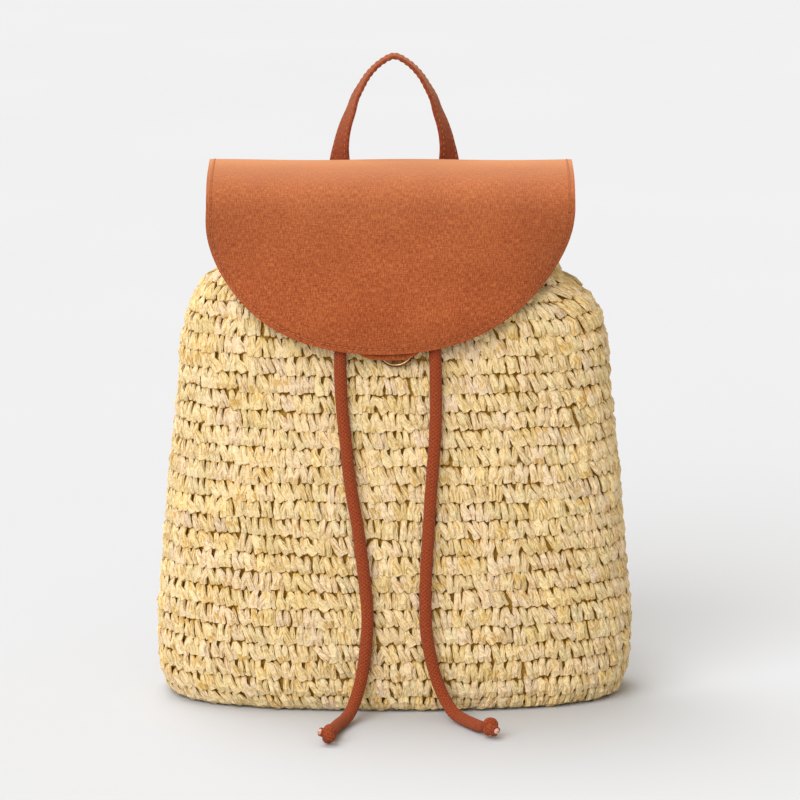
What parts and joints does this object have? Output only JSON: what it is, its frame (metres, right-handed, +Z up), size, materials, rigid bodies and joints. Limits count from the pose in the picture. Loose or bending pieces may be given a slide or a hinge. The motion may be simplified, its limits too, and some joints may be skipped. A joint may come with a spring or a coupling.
{
  "type": "woven straw backpack",
  "caption": "Small crocheted straw backpack: tapered body gathered by a drawcord under a cloth flap with a magnetic snap, top handle and two shoulder straps.",
  "frame": {"origin": "centre of the flat underside of the base, on the floor", "axes": "+Z up through the mouth to the handle, front face and flap towards -Y, +X to the right seen from the front"},
  "size_m": [0.289, 0.2742, 0.3897],
  "materials": {
    "straw": "crocheted paper straw, cream and pale tan, matt with a slight sheen",
    "flap_cloth": "rust-brown cotton canvas, plain weave, matt",
    "strap_cloth": "rust-brown cotton strap, folded and topstitched, matt",
    "cord": "round cloth-covered cord, rust brown, matt",
    "brass": "antique brass, satin"
  },
  "bodies": {
    "root": {"straw_body": "straw", "flap": "flap_cloth", "flap_tab": "flap_cloth", "snap_cap": "brass", "snap_base": "brass", "handle": "strap_cloth", "strap_left": "strap_cloth", "strap_right": "strap_cloth", "drawcord_ring": "cord", "drawcord_end_left": "cord", "drawcord_end_right": "cord", "knot_left": "cord", "knot_right": "cord"}
  },
  "joints": []
}
